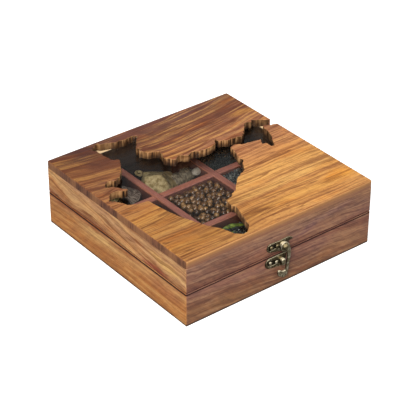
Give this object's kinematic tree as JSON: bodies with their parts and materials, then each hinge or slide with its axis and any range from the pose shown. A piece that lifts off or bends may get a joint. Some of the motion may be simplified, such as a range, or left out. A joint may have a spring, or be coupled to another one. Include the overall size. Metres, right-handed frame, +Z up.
{
  "type": "wooden spice box",
  "caption": "Square wooden spice box with compartments, a hinged lid with a map-shaped cut-out over a clear pane, and a brass swing-hook latch.",
  "frame": {"origin": "under the middle of the box, on the surface that it stands on", "axes": "+X to the right of the latch side, +Y towards the hinges, +Z up"},
  "size_m": [0.203, 0.211, 0.0644],
  "materials": {
    "wall_wood": "satin",
    "top_wood": "satin",
    "divider_wood": "satin",
    "bottom_board": "satin",
    "window": "gloss",
    "aged_brass": "satin",
    "dark_spice": "matte",
    "pale_spice": "matte",
    "green_spice": "matte"
  },
  "bodies": {
    "base": {"base_front_wall": "wall_wood", "base_back_wall": "wall_wood", "base_left_wall": "wall_wood", "base_right_wall": "wall_wood", "base_bottom_panel": "bottom_board", "divider_front": "divider_wood", "divider_back": "divider_wood", "divider_left": "divider_wood", "divider_right": "divider_wood", "left_hinge_base_leaf": "aged_brass", "left_hinge_pin": "aged_brass", "right_hinge_base_leaf": "aged_brass", "right_hinge_pin": "aged_brass", "hinge_base_screws": "aged_brass", "latch_base_plate": "aged_brass", "latch_catch_post": "aged_brass", "latch_base_pins": "aged_brass"},
    "lid": {"lid_front_wall": "wall_wood", "lid_back_wall": "wall_wood", "lid_left_wall": "wall_wood", "lid_right_wall": "wall_wood", "lid_top_panel": "top_wood", "window_pane": "window", "left_hinge_lid_leaf": "aged_brass", "right_hinge_lid_leaf": "aged_brass", "hinge_lid_screws": "aged_brass", "latch_lid_plate": "aged_brass", "latch_pivot_rivet": "aged_brass", "latch_lid_pins": "aged_brass"},
    "latch_hook": {"latch_hook": "aged_brass"}
  },
  "joints": [
    {"name": "lid_hinge", "type": "hinge", "parent": "base", "child": "lid", "pos_m": [0, 0.1025, 0.0329], "axis": [-1, 0, 0], "range_deg": [0, 180]},
    {"name": "latch_swing", "type": "hinge", "parent": "lid", "child": "latch_hook", "pos_m": [-0.0005, -0.103, 0.0397], "axis": [0, -1, 0], "range_deg": [0, 120]}
  ]
}
